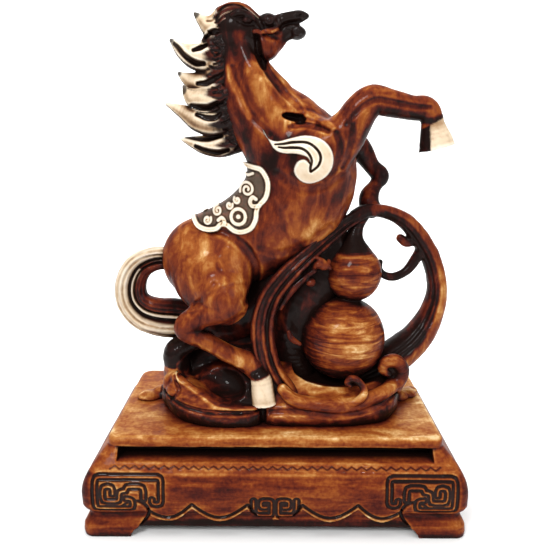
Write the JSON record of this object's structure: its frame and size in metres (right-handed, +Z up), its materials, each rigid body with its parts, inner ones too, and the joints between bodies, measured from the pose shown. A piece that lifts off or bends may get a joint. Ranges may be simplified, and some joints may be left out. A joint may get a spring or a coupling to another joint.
{
  "type": "horse statue",
  "caption": "Rearing horse with a gourd, an ingot and curling leaves, cast in one and standing on a footed plinth carved with frets and a scalloped apron.",
  "frame": {"origin": "centre of the plinth's underside, on the surface it stands on", "axes": "+Z up; +X the way the horse faces; -Y the near side, which shows the front of the plinth"},
  "size_m": [0.278, 0.158, 0.3719],
  "materials": {
    "plinth_lacquer": "cast resin painted as tan and red-brown grained wood, clear gloss lacquer, black in the slot and the incised lines",
    "figure_lacquer": "cast resin painted as carved red-brown wood with dark recesses and rubbed golden highlights, ivory mane, tail, hooves, saddle border and scroll, clear gloss lacquer"
  },
  "bodies": {
    "root": {"plinth": "plinth_lacquer", "horse_and_gourd": "figure_lacquer"}
  },
  "joints": []
}
